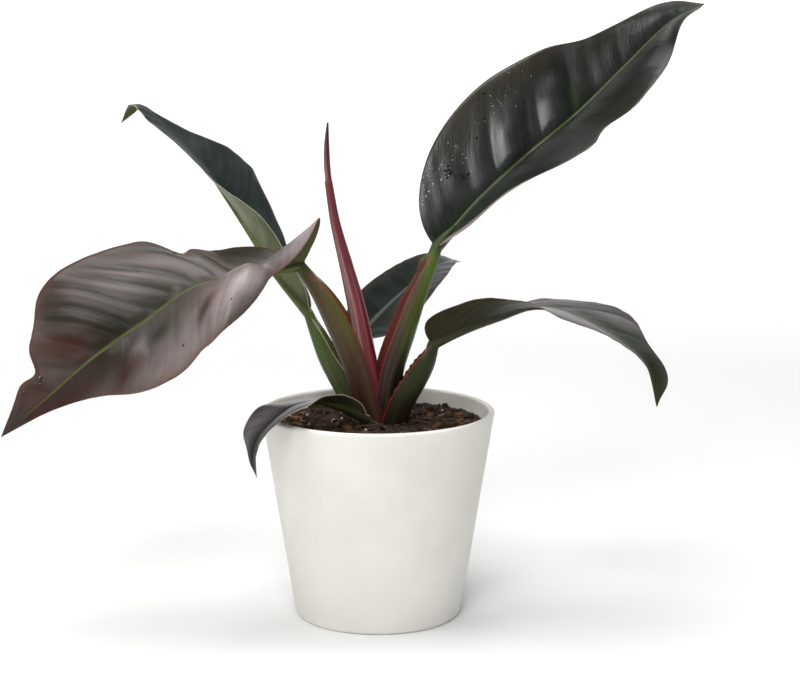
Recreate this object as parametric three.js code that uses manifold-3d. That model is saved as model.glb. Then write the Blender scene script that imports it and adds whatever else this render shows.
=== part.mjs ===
// A young imperial red philodendron in a plain round pot, in millimetres, +Z up.
// The origin is the centre of the pot's foot. The plant is seen best from -Y.
import * as THREE from "three";
import { mergeVertices } from "three/addons/utils/BufferGeometryUtils.js";
import Module from "manifold-3d";

const wasm = await Module();
wasm.setup();

// The gap between neighbouring solids.
const CLEARANCE = 0.3;

// The pot is plain and tapered, with a rounded lip.
const POT_HEIGHT = 125;
const POT_RIM_RADIUS = 70;
const POT_FOOT_RADIUS = 50;
const POT_WALL = 4;
const POT_FLOOR = 6;
const POT_EDGE = 1.5;
const POT_SIDES = 56;

// The soil fills the pot to a little under its lip, and rises slightly towards the plant.
const SOIL_LEVEL = 116;
const SOIL_RISE = 3;
const SOIL_RELIEF = 0.8;
const SOIL_RINGS = 7;

// The short stem is underground except for its flat top, which carries the leaf stalks.
const STEM_TOP = 120;
const STEM_LENGTH = 38;
const STEM_RADIUS = 18;

// A blade is a thin sheet with a raised midrib on its underside.
const BLADE_THICKNESS = 0.8;
const RIB_HALF_WIDTH = [3.2, 2.6, 2, 1.4, 0.7];
const RIB_DEPTH = [3.4, 2.6, 2, 1.4, 0.9];
const ROW_CROWDING = 1.35;
const COLUMNS = 5;
const STALK_ROWS = 12;
const SWEEP = [-0.3, 0.1, 0.25, 0.25, 0.3];

// The cut face of a leaf stalk, one unit from middle to side: a round back, and a channel between two wings.
const WINGED = [
  [0, -1], [0.45, -0.89], [0.83, -0.56], [1, 0], [0.97, 0.5], [0.84, 0.92], [0.62, 0.5], [0.34, 0.14],
  [0, 0.02], [-0.34, 0.14], [-0.62, 0.5], [-0.84, 0.92], [-0.97, 0.5], [-1, 0], [-0.83, -0.56], [-0.45, -0.89],
];

// The same face with its channel filled.
const FILLED = WINGED.map(([x, y]) => [x, Math.abs(x) < 0.85 && y > 0 ? 0.92 : y]);

// Each list runs from the base of its piece to the tip in even steps.
// A blade has the line of its midrib and the way its upper side faces. Each half has its width from midrib to
// margin, its rise in degrees at the midrib, its curl in degrees from there to the margin, and its sweep,
// the share of the width by which the margin runs ahead towards the tip.
// A nick is a place along the blade where a margin draws in by a depth over a reach to either side. One with a
// depth below 0 is a place where it swells.
// A wave has its count along the blade, its height, where it starts, and its half, 1 for right and -1 for left.
// A stalk has its line, the way its channel faces, its width, its depth, and how far its wings are formed.
const LEAVES = [
  {
    name: "tall_right",
    rows: 26,
    midrib: [[35, 4, 222], [62, 16, 251], [91, 30, 276], [122, 46, 300], [152, 59, 328], [179, 67, 353],
      [200, 70, 364]],
    face: [[-0.3, -0.78, 0.64]],
    left: {
      width: [0, 25, 42, 50, 50, 42, 24, 13, 0],
      rise: [45, 35, 30, 30, 30, 30],
      curl: [-10],
      nicks: [{ at: 0.6, depth: 3, reach: 14 }],
    },
    right: {
      width: [0, 25, 36, 43, 42, 41, 28, 10, 0],
      rise: [50, 20, 29, 23, 26, 24, 20, 20, 20],
      curl: [30, 62, 30, 16, 0, 0, 0, 0, 0],
      nicks: [{ at: 0.44, depth: 9, reach: 12 }],
    },
    waves: [{ count: 3.2, height: 1.5, start: 0, half: 1 }, { count: 2.4, height: 1.5, start: 0.3, half: -1 }],
    stalk: {
      line: [[3, -4, 110], [7, -4, 147], [15, -3, 173], [24, 0, 197], [35, 4, 222]],
      face: [[-0.85, -0.16, 0.4]],
      width: [19, 21, 20, 14, 7],
      depth: [16, 16, 15, 12, 7],
      wing: [1, 1, 1, 0.9, 0],
    },
  },
  {
    name: "wide_left",
    rows: 30,
    midrib: [[-46, -4, 212], [-78, -16, 207], [-105, -27, 203], [-133, -40, 185], [-160, -54, 167],
      [-186, -66, 145], [-210, -76, 125]],
    face: [[-0.2, -0.35, 0.9], [-0.1, -0.6, 0.78], [-0.1, -0.81, 0.7], [-0.1, -0.81, 0.7]],
    right: {
      width: [0, 20, 42, 47, 57, 53, 34, 16, 0],
      rise: [40, 20, 0, 5, 12, 20, 20, 20, 20],
      curl: [-10],
      sweep: [-0.3, 0.1, 0.3, 0.4, 0.4],
      nicks: [
        { at: 0.22, depth: 13, reach: 16 },
        { at: 0.285, depth: 11, reach: 5 },
        { at: 0.312, depth: -3, reach: 6 },
        { at: 0.6, depth: -4, reach: 14 },
        { at: 0.78, depth: 7, reach: 7 },
      ],
    },
    left: {
      width: [0, 37, 32, 51, 46, 38, 22, 8, 0],
      rise: [95, 95, 122, 55, 8, -12, -45, -60, -60],
      curl: [-10, -30, -200, -100, -20, 0, 0, 0, 0],
      sweep: [-0.9, -0.7, -0.32, 0.15, 0.3, 0.3, 0.3, 0.3, 0.3],
      nicks: [
        { at: 0.135, depth: 9, reach: 7 },
        { at: 0.22, depth: -5, reach: 9 },
        { at: 0.38, depth: 4, reach: 12 },
      ],
    },
    waves: [{ count: 3.5, height: 2, start: 0.1, half: 1 }],
    stalk: {
      line: [[-1, -6, 110], [-12, -7, 150], [-19, -7, 169], [-27, -6, 186], [-35, -5, 199], [-46, -4, 212]],
      face: [[0.85, 0, 0.45], [0.75, 0, 0.65]],
      width: [19, 19, 18, 18, 14, 8],
      depth: [16, 16, 16, 15, 12, 7],
      wing: [1, 1, 1, 0.8, 0.5, 0],
    },
  },
  {
    name: "back_left",
    rows: 24,
    midrib: [[-42, 18, 180], [-62, 28, 203], [-77, 37, 225], [-92, 44, 247], [-109, 51, 270], [-131, 59, 290],
      [-148, 64, 303], [-160, 66, 291]],
    face: [[0.74, 0, 0.67], [0.74, 0, 0.67], [0.5, 0, 0.8], [-0.2, 0.5, 0.8]],
    right: {
      width: [0, 14, 24, 32, 39, 36, 12, 7, 0],
      rise: [40, 30, 25, 22, 22, 22, 15, 0, -20],
      curl: [0],
      nicks: [{ at: 0.44, depth: -4, reach: 8 }, { at: 0.79, depth: 5, reach: 10 }],
    },
    left: {
      width: [0, 12, 20, 28, 29, 22, 13, 11, 0],
      rise: [65, 58, 48, 32, 12, 2, -6, -20, -40],
      curl: [0],
      nicks: [{ at: 0.72, depth: -5, reach: 14 }],
    },
    waves: [{ count: 2.5, height: 1.5, start: 0.1, half: 1 }],
    stalk: {
      line: [[-6, 7, 110], [-21, 12, 138], [-29.5, 15, 153], [-36, 17, 167], [-42, 18, 180]],
      face: [[0.85, -0.15, 0.45]],
      width: [16, 16, 14, 12, 7],
      depth: [14, 14, 13, 10, 6],
      wing: [1, 1, 0.8, 0.6, 0],
    },
  },
  {
    name: "back_middle",
    rows: 20,
    midrib: [[-13, 22, 164], [-1, 50, 173], [13, 79, 182], [29, 108, 191], [43, 132, 196], [54, 146, 194]],
    face: [[0, -0.1, 0.95]],
    right: { width: [0, 14, 21, 25, 24, 20, 13, 7, 0], rise: [0, -5, 5, 12, 10, 5, 5], curl: [0] },
    left: { width: [0, 10, 18, 21, 22, 21, 19, 15, 0], rise: [20, 20, 18, 15, 12, 10, 10], curl: [0] },
    waves: [],
    stalk: {
      line: [[-1, 7, 110], [-5, 12, 130], [-9, 16, 146], [-13, 22, 164]],
      face: [[0.2, -0.8, 0.5]],
      width: [16, 15, 12, 7],
      depth: [12, 11, 9, 6],
      wing: [1, 0.8, 0.5, 0],
    },
  },
  {
    name: "arching_right",
    rows: 22,
    midrib: [[33, -14, 167], [51, -18, 176], [71, -22, 184], [91, -26, 191], [113, -32, 188], [137, -38, 176],
      [155, -46, 160], [160, -50, 137]],
    face: [[-0.4, -0.1, 0.9], [0.2, -0.15, 0.9], [0.7, -0.15, 0.6]],
    right: {
      width: [0, 18, 23, 26, 26, 25, 19, 10, 0],
      rise: [70, 66, 58, 46, 22, 5, 8, 8, 5],
      curl: [0],
      sweep: [-0.5, 0, 0.25, 0.25, 0.3],
    },
    left: {
      width: [0, 18, 24, 26, 25, 25, 24, 10, 0],
      rise: [20, 10, 0, -8, -8, 2, 22, 30, 30],
      curl: [0],
      nicks: [{ at: 0.77, depth: 3, reach: 9 }, { at: 0.91, depth: -7, reach: 10 }],
    },
    waves: [],
    stalk: {
      line: [[7, -9, 110], [15, -12, 133], [22, -13, 145], [28, -14, 156], [33, -14, 167]],
      face: [[-0.85, 0.05, 0.45]],
      width: [16, 18, 16.5, 14, 7],
      depth: [14, 15, 14, 12, 7],
      wing: [1, 1, 1, 0.8, 0],
    },
  },
  {
    name: "low_left",
    rows: 20,
    midrib: [[-7, -20, 123], [-21, -29, 132], [-35, -38, 137.5], [-47, -47, 137], [-58, -54, 131], [-67, -61, 122],
      [-70, -64, 110], [-68, -66, 99]],
    face: [[-0.1, 0.1, 1], [-0.2, 0, 1], [-0.8, -0.3, 0.4]],
    right: { width: [0, 8, 13, 16, 17, 17, 14, 5, 0], rise: [0, 12, 14, 2, 0, 20, 15, 15, 15], curl: [0] },
    left: { width: [0, 7, 9, 10, 12, 10, 9, 5, 0], rise: [78, 72, 55, 22, 0, 0, 5, 5, 5], curl: [0] },
    waves: [],
    stalk: {
      line: [[-2, -12, 110], [-4, -17, 119], [-7, -20, 123]],
      face: [[0, 0, 1]],
      width: [12, 9, 6],
      depth: [8, 6, 5],
      wing: [0.4, 0.2, 0],
    },
  },
];

// The new growth: a red sheath, and the tip of the rolled leaf that stands out of it.
const SHEATH = {
  line: [[0, 0, 110], [-3.4, 0, 135], [-8, 0, 161], [-12.6, 0, 186], [-18.6, 0, 211], [-25, 0, 237], [-29, 0, 262]],
  face: [[-0.3, -0.9, 0]],
  width: [12.5, 12.5, 12.2, 11, 8.4, 6, 4.6],
  depth: [11.5, 11.5, 11, 10, 8, 5.8, 4.6],
  wing: [0],
};
const ROLLED_LEAF = {
  line: [[-29, 0, 262], [-29.6, 0, 272], [-29.6, 0, 283], [-29, 0, 296]],
  face: [[-0.3, -0.9, 0]],
  width: [4, 3.8, 3, 1],
  depth: [4, 3.8, 3, 1],
  wing: [0],
};

const COLOURS = {
  pot: new THREE.MeshStandardMaterial({ color: 0xece9e2, roughness: 0.55, metalness: 0 }),
  soil: new THREE.MeshStandardMaterial({ color: 0x33261c, roughness: 0.95, metalness: 0 }),
  stem: new THREE.MeshStandardMaterial({ color: 0x5b4a2e, roughness: 0.8, metalness: 0 }),
  blade: new THREE.MeshStandardMaterial({ color: 0x2f3a33, roughness: 0.35, metalness: 0, flatShading: true }),
  stalk: new THREE.MeshStandardMaterial({ color: 0x53602f, roughness: 0.5, metalness: 0, flatShading: true }),
  sheath: new THREE.MeshStandardMaterial({ color: 0x8c3c46, roughness: 0.4, metalness: 0, flatShading: true }),
};

// A number on a smooth curve through evenly spaced values, with share from 0 to 1.
function smooth(values, share) {
  const points = values.map((value) => new THREE.Vector3(value, 0, 0));
  return smoothPoint(points, share).x;
}

function smoothPoint(points, share) {
  if (points.length === 1) {
    return points[0].clone();
  }
  return new THREE.CatmullRomCurve3(points, false, "catmullrom", 0.5).getPoint(share);
}

function lineLength(points) {
  return new THREE.CatmullRomCurve3(points, false, "catmullrom", 0.5).getLength();
}

function vectors(rows) {
  return rows.map((row) => new THREE.Vector3(...row));
}

// Where a line is at a share of its length, with its own directions: along, up towards its face, and to the right.
function placeOn(line, face, share) {
  const step = 0.001;
  const before = smoothPoint(line, Math.max(share - step, 0));
  const after = smoothPoint(line, Math.min(share + step, 1));
  const along = after.sub(before).normalize();
  const up = smoothPoint(face, share);
  up.addScaledVector(along, -up.dot(along)).normalize();
  return { at: smoothPoint(line, share), along, up, right: along.clone().cross(up) };
}

// A point of a blade's middle surface. side is 1 for the right half and -1 for the left, and out runs from
// 0 at the midrib to 1 at the margin.
function bladePoint(leaf, side, row, out) {
  const half = side > 0 ? leaf.right : leaf.left;
  const share = row ** ROW_CROWDING;
  const { at, along, up, right } = placeOn(leaf.midribLine, leaf.faceLine, share);
  const width = halfWidth(leaf, side, row);
  const rise = THREE.MathUtils.degToRad(smooth(half.rise, row));
  const curl = THREE.MathUtils.degToRad(smooth(half.curl, row));
  let across = width * out * Math.cos(rise);
  let height = width * out * Math.sin(rise);
  if (Math.abs(curl) > 0.001) {
    across = (width / curl) * (Math.sin(rise + curl * out) - Math.sin(rise));
    height = (-width / curl) * (Math.cos(rise + curl * out) - Math.cos(rise));
  }
  const ahead = smooth(half.sweep || SWEEP, row) * width * out;
  const point = at.clone();
  point.addScaledVector(right, side * across).addScaledVector(up, height).addScaledVector(along, ahead);
  const slope = rise + curl * out;
  const normal = up.clone().multiplyScalar(Math.cos(slope)).addScaledVector(right, -side * Math.sin(slope));
  for (const wave of leaf.waves.filter((one) => one.half === side)) {
    const turn = 2 * Math.PI * (wave.count * (share + 0.15 * out) + wave.start);
    const size = wave.height * Math.sqrt(4 * share * (1 - share)) * out ** 1.5;
    point.addScaledVector(normal, size * Math.sin(turn));
  }
  return { point, normal };
}

function halfWidth(leaf, side, row) {
  const half = side > 0 ? leaf.right : leaf.left;
  const share = row ** ROW_CROWDING;
  let width = smooth(half.width, row);
  for (const { at, depth, reach } of half.nicks || []) {
    width -= depth * Math.exp(-((((share - at) * leaf.length) / reach) ** 2));
  }
  return Math.max(width, smooth(RIB_HALF_WIDTH, row) + 0.4);
}

// A closed solid between two sheets of points in the same rows and columns.
function solidBetween(upper, lower) {
  const rows = upper.length;
  const columns = upper[0].length;
  const points = [...upper.flat(), ...lower.flat()];
  const faces = [];
  const top = (row, column) => row * columns + column;
  const bottom = (row, column) => rows * columns + top(row, column);
  const quad = (a, b, c, d) => faces.push(a, b, c, a, c, d);
  for (let row = 0; row < rows - 1; row++) {
    for (let column = 0; column < columns - 1; column++) {
      quad(top(row, column), top(row, column + 1), top(row + 1, column + 1), top(row + 1, column));
      quad(bottom(row, column), bottom(row + 1, column), bottom(row + 1, column + 1), bottom(row, column + 1));
    }
    quad(top(row, 0), top(row + 1, 0), bottom(row + 1, 0), bottom(row, 0));
    const last = columns - 1;
    quad(top(row, last), bottom(row, last), bottom(row + 1, last), top(row + 1, last));
  }
  for (let column = 0; column < columns - 1; column++) {
    quad(top(0, column), bottom(0, column), bottom(0, column + 1), top(0, column + 1));
    const last = rows - 1;
    quad(top(last, column), top(last, column + 1), bottom(last, column + 1), bottom(last, column));
  }
  return geometryOf(points, faces);
}

function geometryOf(points, faces) {
  const geometry = new THREE.BufferGeometry().setFromPoints(points);
  geometry.setIndex(faces);
  return geometry;
}

// grown makes the blade thicker and wider all round by that much.
function bladeGeometry(leaf, grown = 0) {
  const upper = [];
  const lower = [];
  for (let i = 0; i <= leaf.rows; i++) {
    const row = i / leaf.rows;
    const above = [];
    const below = [];
    for (let column = -COLUMNS; column <= COLUMNS; column++) {
      const side = column < 0 ? -1 : 1;
      const ribEdge = smooth(RIB_HALF_WIDTH, row) / halfWidth(leaf, side, row);
      const steps = (Math.abs(column) - 1) / (COLUMNS - 1);
      const out = column === 0 ? 0 : ribEdge + (1 - ribEdge) * steps;
      const wider = column === 0 ? 0 : (grown * out) / halfWidth(leaf, side, row);
      const { point, normal } = bladePoint(leaf, side, row, out + wider);
      if (column === 0) {
        normal.copy(placeOn(leaf.midribLine, leaf.faceLine, row ** ROW_CROWDING).up);
      }
      const under = column === 0 ? smooth(RIB_DEPTH, row) : BLADE_THICKNESS / 2;
      above.push(point.clone().addScaledVector(normal, BLADE_THICKNESS / 2 + grown));
      below.push(point.clone().addScaledVector(normal, -under - grown));
    }
    upper.push(above);
    lower.push(below);
  }
  return solidBetween(upper, lower);
}

// A stalk, swept along its line. grown makes it thicker all round by that much.
function stalkGeometry(stalk, grown = 0, section = WINGED) {
  const line = vectors(stalk.line);
  const face = vectors(stalk.face);
  const length = lineLength(line);
  const rings = [];
  for (let i = 0; i <= STALK_ROWS; i++) {
    const share = (i / STALK_ROWS) * (1 - CLEARANCE / length);
    const { at, up, right } = placeOn(line, face, share);
    const wing = smooth(stalk.wing, share);
    const halfWide = smooth(stalk.width, share) / 2 + grown;
    const halfDeep = smooth(stalk.depth, share) / 2 + grown;
    rings.push(section.map(([x, y], k) => {
      const round = (2 * Math.PI * k) / section.length;
      const across = THREE.MathUtils.lerp(Math.sin(round), x, wing) * halfWide;
      const out = THREE.MathUtils.lerp(-Math.cos(round), y, wing) * halfDeep;
      return at.clone().addScaledVector(right, across).addScaledVector(up, out);
    }));
  }
  return tubeGeometry(rings);
}

function tubeGeometry(rings) {
  const sides = rings[0].length;
  const last = rings.length - 1;
  const points = rings.flat();
  const faces = [];
  for (let ring = 0; ring < last; ring++) {
    for (let k = 0; k < sides; k++) {
      const next = (k + 1) % sides;
      const [a, b] = [ring * sides + k, ring * sides + next];
      faces.push(a, b + sides, b, a, a + sides, b + sides);
    }
  }
  // The ends are closed around their middles, which lie inside the section's round back.
  for (const [ring, turn] of [[0, -1], [last, 1]]) {
    const middle = new THREE.Vector3();
    rings[ring].forEach((point) => middle.addScaledVector(point, 1 / sides));
    const back = rings[ring][0];
    points.push(middle.lerp(back, 0.4));
    for (let k = 0; k < sides; k++) {
      const next = (k + 1) % sides;
      const [a, b] = [ring * sides + k, ring * sides + next];
      faces.push(points.length - 1, ...(turn > 0 ? [b, a] : [a, b]));
    }
  }
  return geometryOf(points, faces);
}

function solidFrom(geometry) {
  const plain = geometry.clone();
  plain.deleteAttribute("normal");
  plain.deleteAttribute("uv");
  const merged = mergeVertices(plain, 1e-4);
  return new wasm.Manifold(
    new wasm.Mesh({ numProp: 3, vertProperties: merged.attributes.position.array, triVerts: merged.index.array }),
  );
}

function geometryFrom(solid) {
  const { vertProperties, triVerts } = solid.getMesh();
  const geometry = new THREE.BufferGeometry();
  geometry.setAttribute("position", new THREE.BufferAttribute(vertProperties, 3));
  geometry.setIndex(new THREE.BufferAttribute(triVerts, 1));
  return geometry;
}

function largestPiece(solid) {
  return solid.decompose().sort((a, b) => b.volume() - a.volume())[0];
}

// What is left of a stalk above the stem, outside the stalks it wraps around and short of its blade.
function fittedStalk(stalk, inner, leaf) {
  const ground = new THREE.BoxGeometry(160, 160, STEM_TOP);
  ground.translate(0, 0, STEM_TOP / 2 + CLEARANCE);
  let solid = solidFrom(stalkGeometry(stalk)).subtract(solidFrom(ground));
  for (const other of inner) {
    solid = solid.subtract(solidFrom(stalkGeometry(other, CLEARANCE, FILLED)));
  }
  if (leaf) {
    const { along } = placeOn(leaf.midribLine, leaf.faceLine, 0);
    for (const back of [0, CLEARANCE]) {
      const blade = bladeGeometry(leaf, CLEARANCE);
      blade.translate(...along.clone().multiplyScalar(-back).toArray());
      solid = solid.subtract(solidFrom(blade));
    }
  }
  return geometryFrom(largestPiece(solid));
}

function lathe(profile, sides) {
  return new THREE.LatheGeometry(profile.map(([x, y]) => new THREE.Vector2(x, y)), sides).rotateX(Math.PI / 2);
}

function potInnerRadius(height) {
  const share = height / POT_HEIGHT;
  return THREE.MathUtils.lerp(POT_FOOT_RADIUS, POT_RIM_RADIUS, share) - POT_WALL;
}

function potGeometry() {
  const innerFloor = potInnerRadius(POT_FLOOR);
  return lathe([
    [0, 0],
    [POT_FOOT_RADIUS - POT_EDGE, 0],
    [POT_FOOT_RADIUS, POT_EDGE],
    [POT_RIM_RADIUS, POT_HEIGHT - POT_EDGE],
    [POT_RIM_RADIUS - POT_EDGE, POT_HEIGHT],
    [POT_RIM_RADIUS - POT_WALL + POT_EDGE, POT_HEIGHT],
    [POT_RIM_RADIUS - POT_WALL, POT_HEIGHT - POT_EDGE],
    [innerFloor, POT_FLOOR],
    [0, POT_FLOOR],
  ], POT_SIDES);
}

// The height of the soil: a low mound at the plant, with the small ups and downs of potting mix.
function soilHeight(x, y) {
  const radius = Math.hypot(x, y);
  const mound = SOIL_RISE * Math.exp(-(((radius - STEM_RADIUS) / 14) ** 2));
  const relief = Math.sin(x * 0.31 + 1.2) * Math.cos(y * 0.27) + 0.6 * Math.sin(x * 0.63 - y * 0.52);
  return SOIL_LEVEL + mound + SOIL_RELIEF * relief * 0.6;
}

// The soil is one body around the buried stem, which stands in a plain hole in it.
function soilGeometry() {
  const hole = STEM_RADIUS + CLEARANCE;
  const holeFloor = STEM_TOP - STEM_LENGTH - CLEARANCE;
  const floor = POT_FLOOR + CLEARANCE;
  const profile = [[0, floor], [potInnerRadius(floor) - 2 * CLEARANCE, floor]];
  const outer = potInnerRadius(SOIL_LEVEL) - 2 * CLEARANCE;
  for (let ring = 0; ring <= SOIL_RINGS; ring++) {
    profile.push([THREE.MathUtils.lerp(outer, hole, ring / SOIL_RINGS), SOIL_LEVEL]);
  }
  profile.push([hole, holeFloor], [0, holeFloor]);
  const geometry = lathe(profile, POT_SIDES);
  const position = geometry.attributes.position;
  for (let i = 0; i < position.count; i++) {
    if (position.getZ(i) > SOIL_LEVEL - 1) {
      position.setZ(i, soilHeight(position.getX(i), position.getY(i)));
    }
  }
  return geometry;
}

function stemGeometry() {
  const foot = STEM_TOP - STEM_LENGTH;
  return lathe([
    [0, foot],
    [STEM_RADIUS * 0.55, foot],
    [STEM_RADIUS * 0.8, foot + 6],
    [STEM_RADIUS, foot + 22],
    [STEM_RADIUS, STEM_TOP - 1],
    [STEM_RADIUS - 1, STEM_TOP],
    [0, STEM_TOP],
  ], 32);
}

function named(name, geometry, material) {
  const flat = geometry.index ? geometry.toNonIndexed() : geometry;
  flat.computeVertexNormals();
  const mesh = new THREE.Mesh(flat, material.clone());
  mesh.name = name;
  return mesh;
}

const plant = new THREE.Group();
plant.add(named("pot", potGeometry(), COLOURS.pot));
plant.add(named("soil", soilGeometry(), COLOURS.soil));
plant.add(named("stem", stemGeometry(), COLOURS.stem));

// The sheath is the innermost piece, and each stalk wraps around those before it.
plant.add(named("sheath", fittedStalk(SHEATH, []), COLOURS.sheath));
plant.add(named("rolled_leaf", stalkGeometry(ROLLED_LEAF), COLOURS.sheath));
const wrapped = [SHEATH];
for (const leaf of LEAVES) {
  leaf.midribLine = vectors(leaf.midrib);
  leaf.faceLine = vectors(leaf.face);
  leaf.length = lineLength(leaf.midribLine);
  plant.add(named("stalk_" + leaf.name, fittedStalk(leaf.stalk, wrapped, leaf), COLOURS.stalk));
  plant.add(named("blade_" + leaf.name, bladeGeometry(leaf), COLOURS.blade));
  wrapped.push(leaf.stalk);
}

export default plant;
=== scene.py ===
"""A young imperial red philodendron in a plain pot: fine leaves, stalks, soil and pot over the model."""

import math

import bmesh
import bpy
import numpy as np
from mathutils import Matrix, Quaternion, Vector


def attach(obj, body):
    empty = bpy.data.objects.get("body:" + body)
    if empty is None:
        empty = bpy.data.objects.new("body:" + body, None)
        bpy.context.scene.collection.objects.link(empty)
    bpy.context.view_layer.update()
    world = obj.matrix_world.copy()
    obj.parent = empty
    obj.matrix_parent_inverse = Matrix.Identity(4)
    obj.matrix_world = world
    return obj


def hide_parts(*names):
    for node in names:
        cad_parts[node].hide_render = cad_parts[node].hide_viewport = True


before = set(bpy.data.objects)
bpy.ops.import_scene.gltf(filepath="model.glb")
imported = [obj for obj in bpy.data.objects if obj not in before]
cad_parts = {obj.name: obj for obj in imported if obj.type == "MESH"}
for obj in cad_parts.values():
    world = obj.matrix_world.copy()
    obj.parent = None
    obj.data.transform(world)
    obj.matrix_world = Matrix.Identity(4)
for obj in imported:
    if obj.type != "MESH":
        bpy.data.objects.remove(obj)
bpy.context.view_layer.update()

MM = 0.001

# The photograph: its size, the pixel where the soil meets the pot's axis, and the scale there.
PHOTO_WIDTH = 800
PHOTO_HEIGHT = 678
AXIS_PIXEL = (378, 420)
AXIS_HEIGHT = 118
MM_PER_PIXEL = 0.6
CAMERA_ELEVATION = math.radians(10)
LENS = 85
SENSOR = 36

# Pot, soil and stem, as in the model.
POT_HEIGHT = 125
POT_RIM_RADIUS = 70
POT_FOOT_RADIUS = 50
POT_WALL = 4
POT_LIP = 1.9
POT_FLOOR = 6
POT_SIDES = 160
SOIL_LEVEL = 116
SOIL_RISE = 3
SOIL_BOTTOM = 7
SOIL_GAP = 0.4
SOIL_SIDES = 220
SOIL_RINGS = 84
STEM_RADIUS = 18
STEM_BOTTOM = 83
STEM_TOP = 120
STEM_SIDES = 96
FLAT_BIT = 0.6

# A blade's fine mesh: rows from base to tip, and columns from the midrib to each margin.
BLADE_ROWS = 160
RIB_COLUMNS = 6
BLADE_COLUMNS = 26
ROW_CROWDING = 1.35
BLADE_THICKNESS = 0.6
RIB_HALF_WIDTH = [3.2, 2.6, 2, 1.4, 0.7]
RIB_DEPTH = [3.2, 2.4, 1.8, 1.2, 0.6]
GROOVE = 0.45
TIP_TAPER = 14
LEAST_MARGIN = 0.4

# How a blade's side veins run and what stands between them, where a leaf says nothing of its own.
SWEEP = [-0.3, 0.1, 0.25, 0.25, 0.3]
VEIN_LEAN = 0.45
VEIN_BOW = 0.35
UNEVEN = 0.16
CREASE_WIDTH = 2.4
# Spot kinds: pale spots are painted sheen and painted highlights, the brightest spots painted highlights and
# glints, and deep spots painted shade; warm and green spots are the leaf's own tints.
SPOT_KINDS = ("pale", "painted_highlight", "warm", "deep", "green")

# A stalk's fine mesh. A band is half as wide as a wing's coloured edge or its ear, where 1 is the way round
# from the stalk's back to the wing's edge. The ear's length is a share of the stalk's.
STALK_ROWS = 90
STALK_SIDES = 64
EDGE_BAND = 0.16
EAR_BAND = 0.3
EAR_LENGTH = 0.07
LAP_TURN = 0.19
END_GAP = 0.3
NECK_ROWS = 12
NECK_LENGTH = 16
NECK_END = 0.05

# The cut face of a leaf stalk, one unit from middle to side: a round back, and a channel between two wings.
RIGHT_WING = [(0.45, -0.89), (0.83, -0.56), (1, 0), (0.97, 0.5), (0.84, 0.92), (0.62, 0.5), (0.34, 0.14)]
WINGED = [(0, -1), *RIGHT_WING, (0, 0.02), *((-x, y) for x, y in RIGHT_WING[::-1])]
WING_STEP = 5

# Lists run from the base of a piece to its tip in even steps, in millimetres and degrees. A half has its
# width, its rise from the midrib, its curl towards the margin, and how far its rows sweep ahead. Its cells
# are the puffed strips between side veins: each has where its side vein leaves, as a length along the
# midrib, and its height. They fade out at cells_end, a share of the width. Nicks have a share of the
# midrib, a depth and a half-length. Waves have their number, height, start as a share of a turn, and side.
# Dents and soft spots of colour have a length along the midrib, a distance from it (left of it below 0),
# the half-length each way, and a height or strength. An ear has its share of the stalk and its height,
# teeth have their height and number, and a lap has its step, as a share of the radius, and its place round
# a rolled leaf.
TALL_RIGHT = dict(
    name="tall_right", uneven=0.07,
    midrib=[(35, 4, 222), (62, 16, 251), (91, 30, 276), (122, 46, 300), (152, 59, 328), (179, 67, 353),
        (200, 70, 364)],
    face=[(-0.3, -0.78, 0.64)],
    left=dict(width=[0, 25, 42, 50, 50, 42, 24, 13, 0], rise=[45, 35, 30, 30, 30, 30], curl=[-10],
        nicks=[(0.6, 3, 14)], cells_end=0.75,
        cells=[(0, 0.2), (34, 0.5), (53, 2.3), (79, 0.3), (87, 2.1), (112, 0.2), (128, 0.3), (150, 0.3),
            (200, 0)]),
    right=dict(width=[0, 25, 36, 43, 42, 41, 28, 10, 0], rise=[50, 20, 29, 23, 26, 24, 20, 20, 20],
        curl=[30, 62, 30, 16, 0, 0, 0, 0, 0], nicks=[(0.44, 9, 12)], cells_end=0.8,
        cells=[(30, 0.3), (52, 0.5), (70, 0.3), (95, 0.5), (118, 0.3), (140, 0.4), (165, 0)]),
    waves=[(3.2, 1.5, 0, 1), (2.4, 1.5, 0.3, -1)],
    # Pale spots here are painted highlights on the grey patches of sheen.
    pale=[(60, -17, 9, 16, 0.35), (92, -11, 11, 14, 0.25), (39, -10, 7, 9, 0.2), (136, -4, 6, 5, 0.2),
        (180, -9, 16, 8, 0.2)],
    warm=[(20, -42, 30, 14, 0.6), (85, -44, 40, 9, 0.7), (140, -24, 20, 8, 0.5), (100, 30, 30, 10, 0.35)],
    green=[(114, -8, 3, 7, 0.5), (16, -2, 20, 5, 0.3)],
    # Deep spots are painted shade.
    deep=[(50, 20, 40, 16, 0.6), (120, 18, 40, 14, 0.8), (132, -22, 22, 16, 0.7),
        (106, -38, 20, 12, 0.9), (165, 12, 16, 8, 0.7)],
    stalk=dict(line=[(3, -4, 110), (7, -4, 147), (15, -3, 173), (24, 0, 197), (35, 4, 222)],
        face=[(-0.85, -0.16, 0.4)], width=[19, 21, 20, 14, 7], depth=[16, 16, 15, 12, 7],
        wing=[1, 1, 1, 0.9, 0], ear=(0.9, 3.2)),
)
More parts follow.
